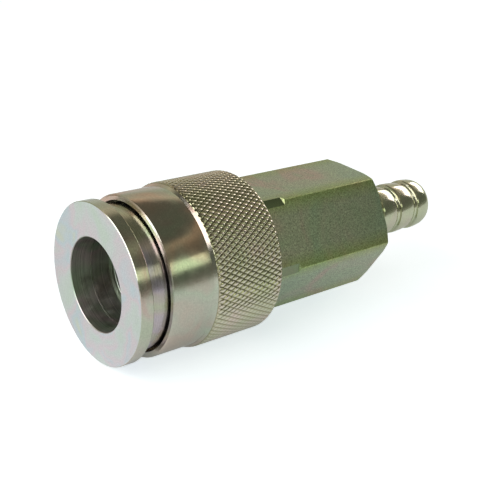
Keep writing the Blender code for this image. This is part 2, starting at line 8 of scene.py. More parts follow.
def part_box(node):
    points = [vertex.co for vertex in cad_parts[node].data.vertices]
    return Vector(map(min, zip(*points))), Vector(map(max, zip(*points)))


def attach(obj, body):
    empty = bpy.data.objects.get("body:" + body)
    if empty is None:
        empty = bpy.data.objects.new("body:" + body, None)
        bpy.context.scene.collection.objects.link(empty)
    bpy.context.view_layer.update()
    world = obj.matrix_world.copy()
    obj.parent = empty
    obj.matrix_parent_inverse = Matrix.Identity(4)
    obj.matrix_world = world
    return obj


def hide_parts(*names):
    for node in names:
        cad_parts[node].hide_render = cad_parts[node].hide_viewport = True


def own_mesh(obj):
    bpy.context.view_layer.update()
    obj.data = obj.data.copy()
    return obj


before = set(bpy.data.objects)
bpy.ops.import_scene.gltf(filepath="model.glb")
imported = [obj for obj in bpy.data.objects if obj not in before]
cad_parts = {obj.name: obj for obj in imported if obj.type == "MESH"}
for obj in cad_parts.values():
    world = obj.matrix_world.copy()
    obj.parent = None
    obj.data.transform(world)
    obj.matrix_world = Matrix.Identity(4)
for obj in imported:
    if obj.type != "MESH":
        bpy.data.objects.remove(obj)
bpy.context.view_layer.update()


# ---------------------------------------------------------------------------------------------
# Nose body: free-cutting steel turned in one piece, with the flange ring at the front, the neck
# behind it and the barrel that the sleeve slides on. It is zinc plated and yellow chromated, a
# thin film whose colour drifts from grey-green to pink.
# ---------------------------------------------------------------------------------------------
MM = 0.001
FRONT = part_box("nose_body")[0].x
AXIS_HEIGHT = (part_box("nose_body")[0].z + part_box("nose_body")[1].z) / 2
AXIS_POINT = Vector((FRONT, 0.0, AXIS_HEIGHT))
AROUND = 192

FLANGE_RADIUS = 12.1
FLANGE_WIDTH = 2.1
NECK_RADIUS = 10.9
SHOULDER_STATION = 9.4
BARREL_RADIUS = 9.3
BARREL_END = 22.5
SPIGOT_RADIUS = 7.9
SPIGOT_END = 29.0
MOUTH_RADIUS = 6.6
MOUTH_END = 6.3
MOUTH_FLARE = 0.4
MOUTH_GROOVE = 0.7
TOOL_LINE_START = 3.1
TOOL_LINE_END = 3.26
TOOL_LINE_DEPTH = 0.25
BORE_RADIUS = 6.5
POCKET_RADIUS = 7.0
POCKET_START = 14.2
CIRCLIP_GROOVE_START = 20.5
CIRCLIP_GROOVE_END = 21.5
CIRCLIP_GROOVE_DEPTH = 0.3
BALL_STATION = 11.6
BALL_HOLE_RADIUS = 1.85
BALL_LIP_RADIUS = 1.6
BALL_LIP_HEIGHT = 0.5


def turned(outline, closed=True, around=AROUND):
    """Spin an outline of (station, radius) points in millimetres round the coupler's axis."""
    shape = bmesh.new()
    places = [(FRONT + station * MM, 0.0, AXIS_HEIGHT + radius * MM) for station, radius in outline]
    corners = [shape.verts.new(place) for place in places]
    following = corners[1:] + corners[:1] if closed else corners[1:]
    edges = [shape.edges.new(pair) for pair in zip(corners, following)]
    bmesh.ops.spin(
        shape, geom=corners + edges, cent=AXIS_POINT, axis=(1.0, 0.0, 0.0),
        angle=2 * math.pi, steps=around, use_merge=True,
    )
    bmesh.ops.remove_doubles(shape, verts=shape.verts, dist=0.0001 * MM)
    bmesh.ops.recalc_face_normals(shape, faces=shape.faces)
    return shape


def made(name, shape, sharp=25.0):
    """Finish a bmesh as an object, smooth but for the edges sharper than the angle given."""
    mesh = bpy.data.meshes.new(name)
    shape.to_mesh(mesh)
    shape.free()
    mesh.shade_smooth()
    mesh.set_sharp_from_angle(angle=math.radians(sharp))
    obj = bpy.data.objects.new(name, mesh)
    bpy.context.scene.collection.objects.link(obj)
    return obj


def cut(obj, tools, operation="DIFFERENCE", sharp=25.0):
    """Cut a piece with its tools, keep the result as its mesh and drop the tools."""
    for tool in tools:
        modifier = obj.modifiers.new(tool.name, "BOOLEAN")
        modifier.operation = operation
        modifier.solver = "EXACT"
        modifier.object = tool
    bpy.context.view_layer.update()
    evaluated = obj.evaluated_get(bpy.context.evaluated_depsgraph_get())
    mesh = bpy.data.meshes.new_from_object(evaluated)
    mesh.shade_smooth()
    mesh.set_sharp_from_angle(angle=math.radians(sharp))
    obj.modifiers.clear()
    obj.data = mesh
    for tool in tools:
        bpy.data.objects.remove(tool)
    return obj


def colour(code):
    """Linear colour from an sRGB hex value."""
    channels = [int(code[at:at + 2], 16) / 255 for at in (0, 2, 4)]
    linear = [c / 12.92 if c <= 0.04045 else ((c + 0.055) / 1.055) ** 2.4 for c in channels]
    return (*linear, 1.0)


def add(tree, kind, inputs=None, stops=(), **settings):
    """Add a node, set it up, fill or link its inputs, and set its colour stops if it has any."""
    node = tree.nodes.new(kind)
    for name, value in settings.items():
        setattr(node, name, value)
    for index, (position, code) in enumerate(stops):
        elements = node.color_ramp.elements
        stop = elements[index] if index < len(elements) else elements.new(position)
        stop.position, stop.color = position, colour(code)
    for name, value in (inputs or {}).items():
        if isinstance(value, bpy.types.NodeSocket):
            tree.links.new(value, node.inputs[name])
        else:
            node.inputs[name].default_value = value
    return node


def new_material(name, metallic, roughness):
    """Material with a Principled shader, and its Object coordinates from the axis's front end."""
    material = bpy.data.materials.new(name)
    material.use_nodes = True
    tree = material.node_tree
    shader = tree.nodes["Principled BSDF"]
    shader.inputs["Metallic"].default_value = metallic
    shader.inputs["Roughness"].default_value = roughness
    place = add(tree, "ShaderNodeTexCoord").outputs["Object"]
    place = add(tree, "ShaderNodeVectorMath", {0: place, 1: AXIS_POINT}, operation="SUBTRACT")
    return material, tree, shader, place.outputs["Vector"]


def axis_distance(tree, place):
    """Distance from the coupler's axis, in metres."""
    across = add(tree, "ShaderNodeVectorMath", {0: place, 1: (0.0, 1.0, 1.0)}, operation="MULTIPLY")
    length = add(tree, "ShaderNodeVectorMath", {0: across.outputs[0]}, operation="LENGTH")
    return length.outputs["Value"]


def turning_path(tree, place, rise=1.0):
    """Distance along a turned surface: down the axis, plus the radius times rise, in metres."""
    station = add(tree, "ShaderNodeSeparateXYZ", {0: place}).outputs["X"]
    radius = axis_distance(tree, place)
    path = add(tree, "ShaderNodeMath", {0: radius, 1: rise, 2: station}, operation="MULTIPLY_ADD")
    return path.outputs[0]


def multiplied(tree, tone, factor):
    """Colour that is a tone times a factor or another tone."""
    product = add(tree, "ShaderNodeVectorMath", {0: tone, 1: factor}, operation="MULTIPLY")
    return product.outputs["Vector"]


def chromated_steel(
    name, tones, roughness, marks_depth, shading=0.05, rise=1.0, tilt=(0, 0, 0), grain_depth=0.08
):
    """Zinc plated, yellow chromated steel as turned: a drifting film over fine tool marks.

    The film drifts over about 7 mm, and along tilt. Its grain of 0.22 mm lightens and darkens it
    by grain_depth. The marks, shaded by shading, are drawn 0.16 mm apart, coarser than the real
    feed of about 0.08 mm, so that they show."""
    material, tree, shader, place = new_material(name, 1.0, roughness)
    patches = add(
        tree, "ShaderNodeTexNoise",
        {"Vector": place, "Scale": 1 / (7.0 * MM), "Detail": 2.5, "Distortion": 0.6},
    )
    lean = add(tree, "ShaderNodeVectorMath", {0: place, 1: tilt}, operation="DOT_PRODUCT")
    drift = add(
        tree, "ShaderNodeMath", {0: patches.outputs[0], 1: lean.outputs["Value"]}, operation="ADD"
    )
    film = add(tree, "ShaderNodeValToRGB", {"Fac": drift.outputs[0]}, stops=tones)
    marks = add(
        tree, "ShaderNodeTexNoise",
        {"W": turning_path(tree, place, rise), "Scale": 1 / (0.16 * MM), "Detail": 2.0},
        noise_dimensions="1D",
    )
    shade = add(
        tree, "ShaderNodeMapRange",
        {"Value": marks.outputs[0], "From Min": 0.3, "From Max": 0.7,
         "To Min": 1 - shading, "To Max": 1 + shading / 2},
    )
    grain = add(tree, "ShaderNodeTexNoise", {"Vector": place, "Scale": 1 / (0.22 * MM), "Detail": 2.0})
    speckle = add(
        tree, "ShaderNodeMapRange",
        {"Value": grain.outputs[0], "From Min": 0.3, "From Max": 0.7,
         "To Min": 1 - grain_depth, "To Max": 1 + grain_depth},
    )
    marked = multiplied(tree, film.outputs[0], shade.outputs[0])
    toned = multiplied(tree, marked, speckle.outputs[0])
    tree.links.new(toned, shader.inputs["Base Color"])
    handling = add(
        tree, "ShaderNodeTexNoise", {"Vector": place, "Scale": 1 / (1.6 * MM), "Detail": 3.0}
    )
    spread = add(
        tree, "ShaderNodeMapRange",
        {"Value": handling.outputs[0], "From Min": 0.3, "From Max": 0.7,
         "To Min": roughness * 0.8, "To Max": roughness * 1.35},
    )
    tree.links.new(spread.outputs[0], shader.inputs["Roughness"])
    bump = add(
        tree, "ShaderNodeBump",
        {"Height": marks.outputs[0], "Distance": marks_depth * MM, "Strength": 0.5},
    )
    tree.links.new(bump.outputs[0], shader.inputs["Normal"])
    return material


nose_outline = [
    (0.0, FLANGE_RADIUS - 0.09), (0.09, FLANGE_RADIUS),
    (FLANGE_WIDTH - 0.2, FLANGE_RADIUS), (FLANGE_WIDTH, FLANGE_RADIUS - 0.2),
    (FLANGE_WIDTH, NECK_RADIUS + 0.15), (FLANGE_WIDTH + 0.15, NECK_RADIUS),
    (SHOULDER_STATION - 0.1, NECK_RADIUS), (SHOULDER_STATION, NECK_RADIUS - 0.1),
    (SHOULDER_STATION, BARREL_RADIUS), (BARREL_END - 0.2, BARREL_RADIUS),
    (BARREL_END, BARREL_RADIUS - 0.2), (BARREL_END, SPIGOT_RADIUS),
    (SPIGOT_END - 0.3, SPIGOT_RADIUS), (SPIGOT_END, SPIGOT_RADIUS - 0.3),
    (SPIGOT_END, POCKET_RADIUS), (CIRCLIP_GROOVE_END, POCKET_RADIUS),
    (CIRCLIP_GROOVE_END, POCKET_RADIUS + CIRCLIP_GROOVE_DEPTH),
    (CIRCLIP_GROOVE_START, POCKET_RADIUS + CIRCLIP_GROOVE_DEPTH),
    (CIRCLIP_GROOVE_START, POCKET_RADIUS), (POCKET_START, POCKET_RADIUS),
    (POCKET_START, BORE_RADIUS), (MOUTH_END + MOUTH_GROOVE + 0.05, BORE_RADIUS),
    (MOUTH_END + MOUTH_GROOVE, BORE_RADIUS + 0.05),
    (MOUTH_END + MOUTH_GROOVE, MOUTH_RADIUS + MOUTH_GROOVE), (MOUTH_END, MOUTH_RADIUS + MOUTH_GROOVE),
    (MOUTH_END, MOUTH_RADIUS + 0.05), (MOUTH_END - 0.05, MOUTH_RADIUS),
    (TOOL_LINE_END, MOUTH_RADIUS + 0.1), (TOOL_LINE_END - 0.02, MOUTH_RADIUS + TOOL_LINE_DEPTH),
    (TOOL_LINE_START + 0.02, MOUTH_RADIUS + TOOL_LINE_DEPTH), (TOOL_LINE_START, MOUTH_RADIUS + 0.1),
    (0.1, MOUTH_RADIUS + MOUTH_FLARE), (0.0, MOUTH_RADIUS + MOUTH_FLARE + 0.1),
]
nose = made("nose", turned(nose_outline))


def off_axis(station, radius, angle):
    """Point at a station and radius, turned round the axis from straight down."""
    around = Vector((0.0, math.sin(angle), -math.cos(angle))) * radius * MM
    return AXIS_POINT + Vector((station * MM, 0.0, 0.0)) + around


def ball_direction(index):
    """Unit vector from the axis to one of the six balls."""
    angle = math.radians(60 * index - 30)
    return Vector((0.0, math.sin(angle), -math.cos(angle)))


def ball_hole(index):
    """Radial drill for a ball's hole, narrowed at the bore so that the ball can't fall through."""
    shape = bmesh.new()
    inner = BORE_RADIUS - 1.0
    profile = [
        (0.0, inner), (BALL_LIP_RADIUS, inner), (BALL_LIP_RADIUS, BORE_RADIUS),
        (BALL_HOLE_RADIUS, BORE_RADIUS + BALL_LIP_HEIGHT), (BALL_HOLE_RADIUS, FLANGE_RADIUS),
        (0.0, FLANGE_RADIUS),
    ]
    corners = [shape.verts.new((radius * MM, 0.0, height * MM)) for radius, height in profile]
    edges = [shape.edges.new(pair) for pair in zip(corners, corners[1:])]
    bmesh.ops.spin(
        shape, geom=corners + edges, cent=(0.0, 0.0, 0.0), axis=(0.0, 0.0, 1.0),
        angle=2 * math.pi, steps=48, use_merge=True,
    )
    bmesh.ops.remove_doubles(shape, verts=shape.verts, dist=0.0001 * MM)
    bmesh.ops.recalc_face_normals(shape, faces=shape.faces)
    turn = ball_direction(index).to_track_quat("Z", "Y").to_matrix().to_4x4()
    shape.transform(Matrix.Translation(off_axis(BALL_STATION, 0.0, 0.0)) @ turn)
    return made(f"drill_{index}", shape)


cut(nose, [ball_hole(index) for index in range(1, 7)])
# Outside of the flange and the barrel: finely turned.
film_turned = chromated_steel(
    "zinc_chromate_turned",
    [(0.30, "C2CCB6"), (0.44, "C8CDBB"), (0.54, "CCCABD"), (0.62, "D0BFB6"), (0.78, "BFCABF")],
    roughness=0.17, marks_depth=0.004,
)
# Front face: faced off and nearly matt, with the palest film.
film_face = chromated_steel(
    "zinc_chromate_faced",
    [(0.32, "D4E0D6"), (0.44, "DAE0DE"), (0.53, "E2D9DE"), (0.62, "D2DEE4"), (0.76, "DCE0CE")],
    roughness=0.38, marks_depth=0.003, shading=0.02,
)
# Bore: bored at a coarse feed, whose rings show, with its film painted darker than the outside's as
# shade inside the bore.
film_bored_painted_shade = chromated_steel(
    "zinc_chromate_bored_painted_shade",
    [(0.32, "AEC0AA"), (0.48, "B8BCB0"), (0.60, "C6BABA"), (0.76, "A8B8A4")],
    roughness=0.36, marks_depth=0.03, shading=0.25, grain_depth=0.03,
)
# Neck and shoulders: undercut, less smooth than the flange, with a bluer film.
film_neck = chromated_steel(
    "zinc_chromate_undercut",
    [(0.34, "C4C8B2"), (0.46, "C8BEBE"), (0.58, "CCC4DA"), (0.74, "CCCCDE")],
    roughness=0.2, marks_depth=0.006, shading=0.12, tilt=(0.0, 0.0, -12.0),
)
for film in (film_turned, film_face, film_bored_painted_shade, film_neck):
    nose.data.materials.append(film)
# The bore's faces take the film painted darker as shade.
for polygon in nose.data.polygons:
    reach = Vector((0.0, polygon.center.y, polygon.center.z - AXIS_HEIGHT)).length
    if polygon.normal.x < -0.99 and polygon.center.x < FRONT + 0.01 * MM:
        polygon.material_index = 1
    elif reach < (POCKET_RADIUS + 0.4) * MM:
        polygon.material_index = 2
    elif reach < (NECK_RADIUS + 0.3) * MM:
        polygon.material_index = 3
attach(nose, "body")
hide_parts("nose_body")


# ---------------------------------------------------------------------------------------------
# Locking balls: six hardened and lapped bearing balls, dropped into the holes before the sleeve
# goes on. The sleeve's land holds them in the plug's groove.
# ---------------------------------------------------------------------------------------------
BALL_RADIUS = 1.75
BALL_ORBIT = 7.45


def bearing_steel():
    """Lapped bearing steel: nearly a mirror, with faint rubbing marks."""
    material, tree, shader, place = new_material("polished_bearing_steel", 1.0, 0.1)
    shader.inputs["Base Color"].default_value = colour("C9C9C7")
    rubs = add(tree, "ShaderNodeTexNoise", {"Vector": place, "Scale": 1 / (0.3 * MM), "Detail": 4.0})
    spread = add(
        tree, "ShaderNodeMapRange",
        {"Value": rubs.outputs[0], "From Min": 0.35, "From Max": 0.7, "To Min": 0.07, "To Max": 0.2},
    )
    tree.links.new(spread.outputs[0], shader.inputs["Roughness"])
    return material


ball_material = bearing_steel()
for index in range(1, 7):
    shape = bmesh.new()
    bmesh.ops.create_uvsphere(shape, u_segments=48, v_segments=24, radius=BALL_RADIUS * MM)
    centre = off_axis(BALL_STATION, 0.0, 0.0) + ball_direction(index) * BALL_ORBIT * MM
    shape.transform(Matrix.Translation(centre))
    ball = made(f"ball_{index}", shape)
    ball.data.materials.append(ball_material)
    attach(ball, f"ball_{index}")
    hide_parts(f"lock_ball_{index}")


# ---------------------------------------------------------------------------------------------
# Seals: moulded nitrile rubber. One grips the plug, one closes the valve, and an O-ring keeps
# the air in where the two bodies screw together.
# ---------------------------------------------------------------------------------------------
POCKET_FIT = 6.8
PLUG_SEAL_START = 14.5
PLUG_SEAL_END = 17.0
PLUG_LIP_RADIUS = 5.7
O_RING_STATION = 29.95
O_RING_MIDDLE = 7.35
O_RING_SECTION = 0.65


def ring_section(start, end, low, high, bevel):
    """Outline of a ring between two stations and two radii, with its corners cut."""
    return [
        (start, low + bevel), (start, high - bevel), (start + bevel, high), (end - bevel, high),
        (end, high - bevel), (end, low + bevel), (end - bevel, low), (start + bevel, low),
    ]


def nitrile():
    """Black moulded nitrile: matt, with the mould's grain of 0.2 mm."""
    material, tree, shader, place = new_material("moulded_nitrile", 0.0, 0.55)
    grain = add(tree, "ShaderNodeTexNoise", {"Vector": place, "Scale": 1 / (0.2 * MM), "Detail": 5.0})
    shade = add(
        tree, "ShaderNodeValToRGB", {"Fac": grain.outputs[0]}, stops=[(0.3, "141516"), (0.7, "232425")]
    )
    tree.links.new(shade.outputs[0], shader.inputs["Base Color"])
    bump = add(tree, "ShaderNodeBump", {"Height": grain.outputs[0], "Distance": 0.01 * MM})
    tree.links.new(bump.outputs[0], shader.inputs["Normal"])
    return material


rubber = nitrile()
plug_seal_outline = [
    (PLUG_SEAL_START, POCKET_FIT - 0.55), (PLUG_SEAL_START, POCKET_FIT - 0.1),
    (PLUG_SEAL_START + 0.1, POCKET_FIT), (PLUG_SEAL_END - 0.1, POCKET_FIT),
    (PLUG_SEAL_END, POCKET_FIT - 0.1), (PLUG_SEAL_END, PLUG_LIP_RADIUS + 0.1),
    (PLUG_SEAL_END - 0.1, PLUG_LIP_RADIUS), (PLUG_SEAL_START + 0.6, PLUG_LIP_RADIUS),
    (PLUG_SEAL_START + 0.25, PLUG_LIP_RADIUS + 0.2),
]
o_ring_outline = [
    (O_RING_STATION + O_RING_SECTION * math.sin(turn), O_RING_MIDDLE + O_RING_SECTION * math.cos(turn))
    for turn in (2 * math.pi * step / 24 for step in range(24))
]
seals = {
    "plug_seal": (plug_seal_outline, "body"),
    "poppet_seal": (ring_section(20.6, 21.8, 3.2, 5.0, 0.12), "poppet"),
    "body_seal": (o_ring_outline, "body"),
}
for name, (outline, body) in seals.items():
    seal = made(name + "_ring", turned(outline, around=96))
    seal.data.materials.append(rubber)
    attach(seal, body)
    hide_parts(name)


# ---------------------------------------------------------------------------------------------
# Valve: a seat, a poppet that the plug pushes open and a guide drilled for the air, all of brass
# turned from bar. Spring steel rings hold the seat, back the plug's seal and carry the sleeve's
# spring.
# ---------------------------------------------------------------------------------------------
POPPET_NOSE_FRONT = 15.4
POPPET_NOSE_RADIUS = 3.0
POPPET_HEAD_START = 22.1
POPPET_HEAD_END = 23.9
POPPET_HEAD_RADIUS = 5.2
STEM_RADIUS = 1.5
STEM_END = 40.0
SEAT_START = 18.2
SEAT_END = 20.3
SEAT_BORE_RADIUS = 4.2
GUIDE_START = 33.6
GUIDE_END = 36.0
AIR_HOLE_RADIUS = 0.9
AIR_HOLE_ORBIT = 5.55


def brass():
    """Turned free-cutting brass: bright yellow with fine rings."""
    material, tree, shader, place = new_material("turned_brass", 1.0, 0.24)
    marks = add(
        tree, "ShaderNodeTexNoise", {"W": turning_path(tree, place), "Scale": 1 / (0.1 * MM)},
        noise_dimensions="1D",
    )
    shade = add(
        tree, "ShaderNodeValToRGB", {"Fac": marks.outputs[0]}, stops=[(0.3, "C3A15B"), (0.7, "DDBE78")]
    )
    tree.links.new(shade.outputs[0], shader.inputs["Base Color"])
    bump = add(tree, "ShaderNodeBump", {"Height": marks.outputs[0], "Distance": 0.005 * MM})
    tree.links.new(bump.outputs[0], shader.inputs["Normal"])
    return material


def spring_steel():
    """Hardened spring steel, drawn or blanked: grey, with a light oil stain."""
    material, tree, shader, place = new_material("oiled_spring_steel", 1.0, 0.3)
    stain = add(tree, "ShaderNodeTexNoise", {"Vector": place, "Scale": 1 / (2.0 * MM), "Detail": 4.0})
    shade = add(
        tree, "ShaderNodeValToRGB", {"Fac": stain.outputs[0]}, stops=[(0.3, "8F8E8A"), (0.7, "B4B3AE")]
    )
    tree.links.new(shade.outputs[0], shader.inputs["Base Color"])
    scratches = add(
        tree, "ShaderNodeTexNoise", {"Vector": place, "Scale": 1 / (0.25 * MM), "Detail": 5.0}
    )
    bump = add(tree, "ShaderNodeBump", {"Height": scratches.outputs[0], "Distance": 0.006 * MM})
    tree.links.new(bump.outputs[0], shader.inputs["Normal"])
    return material


brass_metal = brass()
spring_metal = spring_steel()
poppet_outline = [
    (POPPET_NOSE_FRONT, 0.0), (POPPET_NOSE_FRONT, POPPET_NOSE_RADIUS - 0.8),
    (POPPET_NOSE_FRONT + 0.8, POPPET_NOSE_RADIUS), (POPPET_HEAD_START, POPPET_NOSE_RADIUS),
    (POPPET_HEAD_START, POPPET_HEAD_RADIUS - 0.15), (POPPET_HEAD_START + 0.15, POPPET_HEAD_RADIUS),
    (POPPET_HEAD_END - 0.15, POPPET_HEAD_RADIUS), (POPPET_HEAD_END, POPPET_HEAD_RADIUS - 0.15),
    (POPPET_HEAD_END, STEM_RADIUS + 0.2), (POPPET_HEAD_END + 0.2, STEM_RADIUS),
    (STEM_END - 0.2, STEM_RADIUS), (STEM_END, STEM_RADIUS - 0.2), (STEM_END, 0.0),
]
poppet = made("poppet_stem", turned(poppet_outline, closed=False, around=96))
seat_outline = [
    (SEAT_START, SEAT_BORE_RADIUS + 0.5), (SEAT_START, POCKET_FIT - 0.15),
    (SEAT_START + 0.15, POCKET_FIT), (SEAT_END - 0.15, POCKET_FIT), (SEAT_END, POCKET_FIT - 0.15),
    (SEAT_END, SEAT_BORE_RADIUS + 0.15), (SEAT_END - 0.15, SEAT_BORE_RADIUS),
    (SEAT_START + 0.5, SEAT_BORE_RADIUS),
]
seat = made("seat_ring", turned(seat_outline, around=96))
guide_outline = ring_section(GUIDE_START, GUIDE_END, STEM_RADIUS + 0.3, POCKET_FIT, 0.2)
guide = made("guide_disc", turned(guide_outline, around=96))


def air_drill(index):
    """Round bar through the guide, where one of its six air holes goes."""
    shape = bmesh.new()
    bmesh.ops.create_cone(
        shape, cap_ends=True, segments=32, radius1=AIR_HOLE_RADIUS * MM,
        radius2=AIR_HOLE_RADIUS * MM, depth=6.0 * MM,
    )
    turn = Vector((1.0, 0.0, 0.0)).to_track_quat("Z", "Y").to_matrix().to_4x4()
    centre = off_axis((GUIDE_START + GUIDE_END) / 2, AIR_HOLE_ORBIT, index * math.pi / 3)
    shape.transform(Matrix.Translation(centre) @ turn)
    return made(f"air_drill_{index}", shape)


cut(guide, [air_drill(index) for index in range(6)])
for piece, node, body in (
    (poppet, "valve_poppet", "poppet"), (seat, "valve_seat", "body"), (guide, "valve_guide", "body"),
):
    piece.data.materials.append(brass_metal)
    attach(piece, body)
    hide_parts(node)

circlip = made("circlip", turned(ring_section(20.6, 21.4, 5.6, 7.2, 0.08), around=96))
opening = bmesh.new()
bmesh.ops.create_cube(opening, size=MM)
bmesh.ops.scale(opening, vec=(3.0, 3.0, 5.0), verts=opening.verts)
bmesh.ops.translate(opening, vec=off_axis(21.0, 6.5, 0.0), verts=opening.verts)
cut(circlip, [made("circlip_gap", opening)])
washer = made("washer_ring", turned(ring_section(17.3, 17.9, 5.9, POCKET_FIT, 0.08), around=96))
thrust = made("thrust_ring", turned(ring_section(13.5, 14.2, 9.5, 10.55, 0.08)))
for piece, node, body in (
    (circlip, "seat_circlip", "body"), (washer, "seal_washer", "body"),
    (thrust, "thrust_washer", "thrust_ring"),
):
    piece.data.materials.append(spring_metal)
    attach(piece, body)
    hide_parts(node)


# ---------------------------------------------------------------------------------------------
# Springs: round spring wire, coiled cold with a closed coil at each end. One pushes the sleeve
# forward over the balls, and one shuts the valve.
# ---------------------------------------------------------------------------------------------
SLEEVE_SPRING_START = 14.5
SLEEVE_SPRING_END = 22.5
VALVE_SPRING_START = 24.2
VALVE_SPRING_END = 33.3


def compression_spring(name, start, end, radius, wire, turns):
    """Wire section spun into closed, open and closed coils, and capped at both ends.

    Each end is closed for 0.7 of a turn, climbing just over the wire's own thickness per turn."""
    shape = bmesh.new()
    bmesh.ops.create_circle(shape, cap_ends=False, segments=12, radius=wire / 2 * MM)
    lay = Matrix.Rotation(math.pi / 2, 4, "X")
    shape.transform(Matrix.Translation(off_axis(start + wire / 2, radius, 0.0)) @ lay)
    ring = list(shape.verts) + list(shape.edges)
    closed = 0.7
    closed_climb = closed * wire * 1.05
    open_climb = end - start - wire - 2 * closed_climb
    coils = [(closed, closed_climb), (turns - 2 * closed, open_climb), (closed, closed_climb)]
    for count, climb in coils:
        steps = round(count * 40)
        spun = bmesh.ops.spin(
            shape, geom=ring, cent=AXIS_POINT, axis=(1.0, 0.0, 0.0), angle=2 * math.pi * count,
            steps=steps, dvec=(climb * MM / steps, 0.0, 0.0),
        )
        ring = spun["geom_last"]
    rims = [edge for edge in shape.edges if edge.is_boundary]
    bmesh.ops.holes_fill(shape, edges=rims, sides=0)
    bmesh.ops.recalc_face_normals(shape, faces=shape.faces)
    return made(name, shape, sharp=50.0)


sleeve_coil = compression_spring(
    "sleeve_coil", SLEEVE_SPRING_START, SLEEVE_SPRING_END, radius=10.03, wire=0.9, turns=3
)
valve_coil = compression_spring(
    "valve_coil", VALVE_SPRING_START, VALVE_SPRING_END, radius=3.9, wire=0.8, turns=5
)
# keep is the share of its length that a spring has left when its joint is at its end.
for coil, node, joint, fixed, keep in (
    (sleeve_coil, "sleeve_spring", "sleeve_slide", SLEEVE_SPRING_END, 0.5),
    (valve_coil, "valve_spring", "valve_slide", VALVE_SPRING_END, 0.615),
):
    coil.data.materials.append(spring_metal)
    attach(coil, "body")
    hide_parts(node)
    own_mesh(coil)


# ---------------------------------------------------------------------------------------------
# Release sleeve: turned steel, plated like the nose, and slid over the barrel from the rear. Its
# front is plain and polished. Its rear has a diamond knurl, rolled in two directions at 30 degrees
# to the axis; its raised diamonds keep the film's full tone, and painted shade darkens it into the
# grooves.
# ---------------------------------------------------------------------------------------------
SLEEVE_FRONT = 5.2
SLEEVE_REAR = 24.5
LIP_BORE_RADIUS = 11.3
PLAIN_RADIUS = 12.2
PLAIN_END = 12.05
LAND_FRONT = 10.8
LAND_REAR = 13.2
LAND_RADIUS = 9.5
SLEEVE_BORE_RADIUS = 10.75
KNURL_START = 12.48
KNURL_END = 24.3
KNURL_RUNOUT = 0.28
KNURL_ROOT = 12.52
KNURL_TOP = 12.69
KNURL_FLOOR = 11.9
KNURL_AROUND = 90
KNURL_ANGLE = math.radians(30)
DIAMOND_WIDTH = 2 * math.pi * KNURL_ROOT / KNURL_AROUND
DIAMOND_LENGTH = DIAMOND_WIDTH / math.tan(KNURL_ANGLE)
DIAMOND_FLAT = 0.48

sleeve_outline = [
    (SLEEVE_FRONT, LIP_BORE_RADIUS + 0.05), (SLEEVE_FRONT, PLAIN_RADIUS - 0.3),
    (SLEEVE_FRONT + 0.12, PLAIN_RADIUS - 0.08), (SLEEVE_FRONT + 0.3, PLAIN_RADIUS),
    (PLAIN_END, PLAIN_RADIUS), (KNURL_START, KNURL_ROOT), (KNURL_START + 0.1, PLAIN_RADIUS),
    (KNURL_END - 0.1, PLAIN_RADIUS), (KNURL_END, KNURL_ROOT), (SLEEVE_REAR, PLAIN_RADIUS + 0.15),
    (SLEEVE_REAR, SLEEVE_BORE_RADIUS + 0.1), (SLEEVE_REAR - 0.1, SLEEVE_BORE_RADIUS),
    (LAND_REAR, SLEEVE_BORE_RADIUS), (LAND_REAR, LAND_RADIUS), (LAND_FRONT, LAND_RADIUS),
    (LAND_FRONT - 1.1, LAND_RADIUS + 0.8), (LAND_FRONT - 1.1, LIP_BORE_RADIUS),
    (SLEEVE_FRONT + 0.05, LIP_BORE_RADIUS),
]


def knurl():
    """Closed band of truncated diamonds, a little too long, each row half a pitch from the last."""
    shape = bmesh.new()
    rows = math.ceil((KNURL_END - KNURL_START) / (DIAMOND_LENGTH / 2)) + 3
    height = (KNURL_TOP - KNURL_ROOT) * MM
    size = (DIAMOND_LENGTH / 2 * MM, DIAMOND_WIDTH / 2 * MM, height)
    for row in range(rows):
        diamond = bmesh.ops.create_cone(
            shape, cap_ends=False, segments=4, radius1=1.0, radius2=DIAMOND_FLAT, depth=1.0
        )
        corners = diamond["verts"]
        top = [corner for corner in corners if corner.co.z > 0]
        bmesh.ops.contextual_create(shape, geom=top)
        bmesh.ops.scale(shape, vec=size, verts=corners)
        station = KNURL_START + (row - 1) * DIAMOND_LENGTH / 2
        lift = Vector((station * MM, 0.0, KNURL_ROOT * MM + height / 2))
        bmesh.ops.translate(shape, vec=AXIS_POINT + lift, verts=corners)
        stagger = Matrix.Rotation(math.pi / KNURL_AROUND * (row % 2), 3, "X")
        bmesh.ops.rotate(shape, cent=AXIS_POINT, matrix=stagger, verts=corners)
    bmesh.ops.spin(
        shape, geom=shape.verts[:] + shape.edges[:] + shape.faces[:], cent=AXIS_POINT,
        axis=(1.0, 0.0, 0.0), angle=2 * math.pi * (KNURL_AROUND - 1) / KNURL_AROUND,
        steps=KNURL_AROUND - 1, use_duplicate=True,
    )
    bmesh.ops.remove_doubles(shape, verts=shape.verts, dist=0.03 * MM)
    rims = [edge for edge in shape.edges if edge.is_boundary]
    inner = bmesh.ops.extrude_edge_only(shape, edges=rims)["geom"]
    for corner in (item for item in inner if isinstance(item, bmesh.types.BMVert)):
        out = Vector((0.0, corner.co.y, corner.co.z - AXIS_HEIGHT))
        corner.co -= out - out.normalized() * KNURL_FLOOR * MM
    walls = [edge for edge in shape.edges if edge.is_boundary]
    bmesh.ops.bridge_loops(shape, edges=walls)
    bmesh.ops.recalc_face_normals(shape, faces=shape.faces)
    return shape


